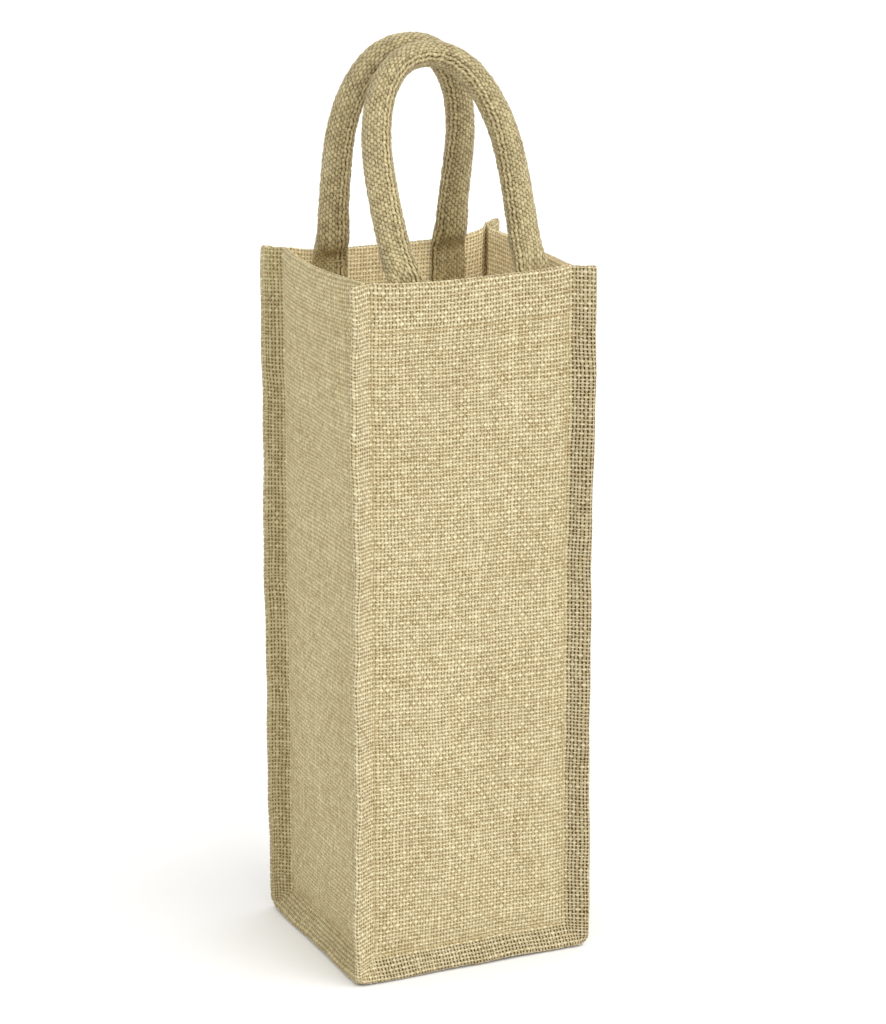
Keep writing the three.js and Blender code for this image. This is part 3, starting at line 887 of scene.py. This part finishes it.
def loop_path(loop, step):
    """A handle's centre line from one flattened end to the other, in even steps, and how far along each is."""
    t = np.linspace(0, 1, 1201)
    u = np.minimum(t, 1 - t)
    side = np.where(t < 0.5, -1.0, 1.0)
    leg = u < 0.22
    z_leg = loop["shoulder"] * u / 0.22
    angle = np.clip((u - 0.22) / 0.28, 0, 1) * math.pi / 2
    half, shoulder, power = loop["half"], loop["shoulder"], 2 / LOOP_POWER
    x = side * np.where(leg, half - loop["pinch"] * ((shoulder - z_leg) / shoulder) ** 2,
                        half * np.maximum(np.cos(angle), 0) ** power)
    up = np.where(leg, z_leg, shoulder + (loop["rise"] - shoulder) * np.sin(angle) ** power)
    lean = math.radians(loop["lean"])
    y = loop["side"] * (TUBE_Y - math.sin(lean) * up)
    loop_points = np.stack([x + loop["shift"], y, HEIGHT + math.cos(lean) * up], axis=1)
    z = np.arange(FLAT["low"], HEIGHT + 3, 0.5)
    y_leg = loop["side"] * (WEB_BACK - lerp(FLAT["thick"], WEB_BACK - TUBE_Y, smoothstep((z - 344) / 16)))
    first, last = (np.stack([0 * z + loop_points[end, 0], y_leg, z], axis=1) for end in (0, -1))
    rising = loop_points[loop_points[:, 2] > HEIGHT + 3.2]
    still_flat = 1 - smoothstep((rising[:, 2] - 344) / 16)
    rising[:, 1] += loop["side"] * (WEB_BACK - FLAT["thick"] - TUBE_Y) * still_flat
    whole = np.concatenate([first, rising, last[::-1]])
    for _ in range(2):
        length = np.concatenate([[0], np.cumsum(np.linalg.norm(np.diff(whole, axis=0), axis=1))])
        steps = np.linspace(0, length[-1], round(length[-1] / step) + 1)
        whole = np.stack([np.interp(steps, length, whole[:, k]) for k in range(3)], axis=1)
        whole = smoothed(whole, 1.6 / step)
    return whole, steps


def web_relief(around, along, column, seed):
    """Webbing's surface: staggered oval floats, and a seam of two twisted ridges with a groove between."""
    sizes = np.random.default_rng(seed).uniform(0.68, 1.2, 4096)
    dome = np.zeros_like(column)
    for beside in (-1, 0, 1):
        c = np.floor(column) + beside
        step = along / BEAD + 0.5 * np.mod(c, 2)
        k = np.floor(step)
        y = (step - k - 0.5) / BEAD_HALF[1]
        x = (column - c - 0.5) / BEAD_HALF[0] + ASLANT * y
        one = np.sqrt(np.maximum(0, 1 - x ** 2 - y ** 2)) * sizes[(c * 37 + k * 101).astype(int) % 4096]
        dome = np.maximum(dome, one)
    beads = 0.66 * dome - 0.36
    middle = around + 0.22 * np.sin(along * 0.83) + 0.14 * np.sin(along * 2.1 + 1)
    across = np.abs(middle) - RIDGE_AT
    ridge = np.sqrt(np.maximum(0, 1 - (across / RIDGE_HALF) ** 2))
    twist = np.cos(2 * np.pi * (along / TWIST + np.sign(middle) * across * 0.3))
    seam = ridge * (0.6 + 0.07 * twist) - 0.42 - 0.22 * np.exp(-(middle / 0.45) ** 2)
    share = smoothstep((np.abs(around) - SEAM_HALF + 0.25) / 0.5)
    return lerp(seam, beads, share)


def handle_mesh(name, material):
    """A handle's webbing as one closed mesh, with its points and ways out, and its rows' way past the rim."""
    loop = LOOPS[name]
    path, s = loop_path(loop, 0.5)
    count, total = len(path), s[-1]
    tangent = normalized(np.gradient(path, axis=0))
    rim = np.minimum(s, total - s) - (HEIGHT - FLAT["low"])  # distance along the tube from the bag's top edge
    # the loop's front, turning upright inside the bag
    tilt = math.radians(loop["lean"]) * smoothstep((rim + 6) / 14)
    front_normal = np.stack([0 * s, -np.cos(tilt), -loop["side"] * np.sin(tilt)], axis=1)
    inward = normalized(np.cross(tangent, front_normal))
    front_normal = normalized(np.cross(inward, tangent))
    middle = (path[0] + path[-1]) / 2 + np.array([0, 0, 70.0])
    if ((middle - path[20]) * inward[20]).sum() < 0:
        inward = -inward
    roundness = smoothstep((rim + 6) / 16)
    width = np.interp(rim, [-6, 3, 22, 60, 100, 125], [FLAT["width"], 8.3, 7.4, 7.0, 6.6, 5.95])
    thick = lerp(FLAT["thick"], np.interp(rim, [0, 22, 60, 125], [6.7, 7.0, 7.0, 6.6]), roundness)
    power = lerp(0.4, 1.0, roundness)
    first, top, last = loop["seam"]
    seam_angle = np.radians(np.interp(s / total, [0.2, 0.5, 0.8], [first, top, last]))
    # points around the section at even distances from the seam
    turn = np.linspace(-np.pi, np.pi, 361)[None, :] + seam_angle[:, None]
    cos, sin = np.cos(turn), np.sin(turn)
    py = thick[:, None] * np.sign(cos) * np.abs(cos) ** power[:, None]
    px = width[:, None] * np.sign(sin) * np.abs(sin) ** power[:, None]
    arc = np.concatenate([np.zeros((count, 1)), np.cumsum(np.hypot(np.diff(px), np.diff(py)), axis=1)], axis=1)
    seam_steps = np.linspace(-SEAM_HALF, SEAM_HALF, SEAM_COLUMNS)
    bead_steps = np.arange(1, BEAD_COLUMNS * 5) / 5
    columns = len(seam_steps) + len(bead_steps)
    points, around = np.zeros((count, columns, 3)), np.zeros((count, columns))
    column = np.concatenate([np.where(seam_steps > 0, 0.0, BEAD_COLUMNS - 0.001), bead_steps])
    column = np.tile(column, (count, 1))
    for i in range(count):
        full = arc[i, -1]
        pitch = (full - 2 * SEAM_HALF) / BEAD_COLUMNS
        a = np.concatenate([seam_steps, SEAM_HALF + bead_steps * pitch])
        place = np.mod(a + arc[i, 180], full)
        x, y = np.interp(place, arc[i], px[i]), np.interp(place, arc[i], py[i])
        points[i] = path[i] + y[:, None] * front_normal[i] + x[:, None] * inward[i]
        around[i] = np.where(a > full / 2, a - full, a)
    nearby = np.concatenate([points[:, -1:], points, points[:, :1]], axis=1)
    normal = normalized(np.cross(np.gradient(points, axis=0), (nearby[:, 2:] - nearby[:, :-2])))
    outward = points - path[:, None]
    normal *= np.sign((normal * outward).sum(axis=-1, keepdims=True))
    along = np.broadcast_to(s[:, None], around.shape)
    height = web_relief(around, along, column, loop["seed"])
    ends = smoothstep(np.minimum(s, total - s) / 2.0)[:, None]
    points = points + normal * (height * (0.25 + 0.75 * roundness[:, None]) * ends)[..., None]
    # rounded ends, inside the bag
    cap_a = path[0] + (points[0] - path[0]) * 0.7 - tangent[0] * 0.5
    cap_b = path[-1] + (points[-1] - path[-1]) * 0.7 + tangent[-1] * 0.5
    rows = np.concatenate([cap_a[None], points, cap_b[None]]).reshape(-1, 3)
    verts = np.concatenate([rows, [path[0] - tangent[0] * 0.6, path[-1] + tangent[-1] * 0.6]])
    quads = grid_quads(count + 2, columns, closed=True)
    tip, last_row, ring = (count + 2) * columns, (count + 1) * columns, np.arange(columns)
    after = np.roll(ring, -1)
    tris = np.concatenate([np.stack([after, ring, np.full(columns, tip)], axis=1),
                           np.stack([ring + last_row, after + last_row, np.full(columns, tip + 1)], axis=1)])
    web = np.stack([column, along, around], axis=-1)
    web = np.concatenate([web[:1], web, web[-1:]]).reshape(-1, 3)
    web = np.concatenate([web, [[4, 0, 10], [4, total, 10]]])
    # the quads have to face outward
    a, b, c = verts[quads[50, :3]]
    if (np.cross(b - a, c - a) * (a - path[0])).sum() < 0:
        quads, tris = quads[:, ::-1], tris[:, ::-1]
    # inside the bag the ends follow the wall they are sewn to
    wall = WALLS[name]
    sewn = 1 - smoothstep((verts[:, 2] - 340) / 30)
    follow = wall.point(verts @ wall.axes.T - [0, 0, wall.plane]) - verts
    verts = verts + follow * sewn[:, None]
    obj = make_mesh(f"{name}_handle_webbing", verts, quads, tris, {"web": web}, material)
    grid = verts[columns:-columns - 2].reshape(count, columns, 3)
    return obj, grid, normal, rim, (verts, quads)


def webbing_material():
    """Warp-faced jute webbing: floats of a few plied yarns, with painted shade in the dips, and a twisted closing
    seam.
    """
    n = Nodes("jute_webbing")
    column, along, around = n.split(n.attribute("web"))
    ragged = (n.noise(n.join(column, along / BEAD, 2.0), 3.0, 2.0) - 0.5) * 0.42

    def float_at(beside):
        """A float in this column or one beside it: how far out on it this is, its number, the way across it."""
        c = n.math("FLOOR", column) + beside
        step = along / BEAD + n.math("FLOORED_MODULO", c, 2.0) * 0.5
        k = n.math("FLOOR", step)
        y = step - k - 0.5 + ragged
        x = column - c - 0.5 + ragged + y * (ASLANT * BEAD_HALF[0] / BEAD_HALF[1])
        sx, sy = x / BEAD_HALF[0], y / BEAD_HALF[1]
        return sx * sx + sy * sy, n.join(c, k, 1.0), x + y * 0.25

    out, number, across_float = float_at(0.0)
    for beside in (-1.0, 1.0):
        other, other_number, other_across = float_at(beside)
        nearer = n.math("LESS_THAN", other, out)
        out = n.math("MINIMUM", out, other)
        number = n.mix(nearer, number, other_number, "VECTOR")
        across_float = n.blend(nearer, across_float, other_across)
    plies = n.math("COSINE", across_float * (5 * math.pi))
    around = around + (n.math("SINE", along * 0.83) * 0.22 + n.math("SINE", along * 2.1 + 1.0) * 0.14)
    apart = n.math("ABSOLUTE", around)
    across = apart - RIDGE_AT
    ridge_x = across / RIDGE_HALF
    ridge = n.dome(ridge_x * ridge_x)
    twist = n.math("COSINE", (along / TWIST + n.math("SIGN", around) * across * 0.3) * (2 * math.pi))
    in_seam = n.math("LESS_THAN", apart, SEAM_HALF)
    height = n.blend(in_seam, n.dome(out) + plies * 0.16, ridge * (twist * 0.14 + 0.75))
    tone = n.random(number, "3D")
    fibre = n.noise(n.join(column * 8.0, along * 0.7), 1.0, 3.0, 0.65)
    cloudy = n.noise(n.join(column, along * 0.25), 0.35, 2.0)
    speckle = n.noise(n.join(column * 2.4, along * 1.7, 9.0), 1.0, 2.0, 0.6)
    # painted light and shade: the floats' crowns and plies are painted lighter and the dips between them darker
    light = n.range(height, 0.25, 1.06, -0.10, 0.80)
    light = n.vary(light, ((speckle, 1.3), (tone, 0.30), (fibre, 0.9), (cloudy, 0.3)))
    # the closing seam's two turned edges get painted highlight on their ridges, with painted shade in the groove
    # between them and beside them
    beside_seam = n.math("ABSOLUTE", apart - (SEAM_HALF + 0.45))
    for where, width, change in ((apart, 0.5, -0.42), (beside_seam, 0.55, -0.3)):
        light = light + n.range(where, 0.1, width, change, 0.0)
    # painted highlight on the seam's two ridges
    light = n.vary(light + in_seam * ridge * 0.22, ())
    plain = {"Sheen Weight": 0.15, "Specular IOR Level": 0.35}
    return n.shade(n.mix(light, srgb(98, 78, 36), srgb(236, 220, 168)), n.range(light, 0.0, 1.0, 0.92, 0.66),
                   plain, height * 0.35 + fibre * 0.25, 0.6, 0.0005)


WEBBING = webbing_material()


def end_box(loop, left, right, cloth):
    """A box of stitches with a cross in it, laid on the face of a handle's end that looks into the bag."""
    tree = BVHTree.FromPolygons([tuple(p) for p in cloth[0]], [tuple(q) for q in cloth[1]])
    low, high, side = 325.2, 342.0, loop["side"]
    corners = {"a": (left, low), "b": (right, low), "c": (right, high), "d": (left, high)}
    parts = []
    for start, end in ("ab", "bc", "cd", "da", "ac", "bd"):
        x = np.linspace(corners[start][0], corners[end][0], 60)
        z = np.linspace(corners[start][1], corners[end][1], 60)
        hits = [tree.ray_cast((px, 0, pz), (0, side, 0)) for px, pz in zip(x, z)]
        line = np.array([tuple(h[0]) for h in hits if h[0]])
        smooth = np.array([[0, -side, 0]] * len(line), float)
        line[:, 1] = np.convolve(np.pad(line[:, 1], 4, mode="edge"), np.ones(9) / 9, mode="valid")
        parts.append(stitches(np.random.default_rng(7), line, smooth, 3.4, 2.6))
    return parts


for handle in ("front", "back"):
    loop = LOOPS[handle]
    webbing, grid, ways_out, rim, cloth = handle_mesh(handle, WEBBING)
    ends = [f"{handle}_handle_{end}_end" for end in ("left", "right")]
    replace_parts(webbing, f"{handle}_handle", f"{handle}_handle_rope", *ends)
    above, middle = rim > 1, SEAM_COLUMNS // 2
    seam = [stitches(np.random.default_rng(8), grid[above, middle], ways_out[above, middle], 3.3, 2.4, 0.9)]
    thread = sew(f"{handle}_handle_thread", seam, 0.30, 4)
    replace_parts(thread, f"{handle}_handle_seam_stitching")
    out_of = rim > -6
    loose = fuzz(f"{handle}_handle_fibres", loop["seed"], grid[out_of], ways_out[out_of], 380)
    for obj in (webbing, thread, loose):
        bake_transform(obj)
    for end, sign in (("left", -1), ("right", 1)):
        where = loop["shift"] + sign * (loop["half"] - loop["pinch"])
        box = sew(f"{handle}_{end}_end_thread", end_box(loop, where - 6.6, where + 6.6, cloth), 0.32, 5)
        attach(box, "bag")
        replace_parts(box, f"{handle}_handle_{end}_end_stitching")

# -------- floor, light, camera

def floor_material():
    n = Nodes("pale_floor")
    grain = n.noise(n.node("ShaderNodeTexCoord", output="Object"), 3.0, 3.0)
    patches = n.range(grain, 0.3, 0.7, 0.0, 0.04)
    return n.shade(n.mix(patches, (0.93, 0.93, 0.925, 1), (0.88, 0.88, 0.875, 1)), 0.9)


corners = [[-9000, -9000, -0.3], [9000, -9000, -0.3], [9000, 12000, -0.3], [-9000, 12000, -0.3]]
floor = make_mesh("floor", np.array(corners), [[0, 1, 2, 3]], material=floor_material())


def sun(name, towards, strength, angle):
    data = bpy.data.lights.new(name, "SUN")
    data.energy = strength
    data.angle = math.radians(angle)
    lamp = bpy.data.objects.new(name, data)
    bpy.context.scene.collection.objects.link(lamp)
    lamp.rotation_euler = Vector(towards).to_track_quat("-Z", "Y").to_euler()


sun("key", (-0.42, 0.60, -0.68), 1.5, 60)
sun("fill", (0.75, 0.42, -0.51), 0.3, 100)

world = bpy.data.worlds.new("studio")
bpy.context.scene.world = world
world.use_nodes = True
world.node_tree.nodes["Background"].inputs["Color"].default_value = (1, 1, 1, 1)
world.node_tree.nodes["Background"].inputs["Strength"].default_value = 1.0

camera_data = bpy.data.cameras.new("camera")
camera_data.sensor_width = 36.0
camera_data.lens = 112.27
camera = bpy.data.objects.new("camera", camera_data)
bpy.context.scene.collection.objects.link(camera)
camera.location = (-0.6320, -1.3869, 0.6471)
yaw, pitch = math.radians(-24.8), math.radians(15.63)
gaze = Vector((-math.sin(yaw) * math.cos(pitch), math.cos(yaw) * math.cos(pitch), -math.sin(pitch)))
camera.rotation_euler = gaze.to_track_quat("-Z", "Y").to_euler()
bpy.context.scene.camera = camera
bpy.context.scene.view_settings.view_transform = "Standard"
bpy.context.scene.view_settings.look = "None"
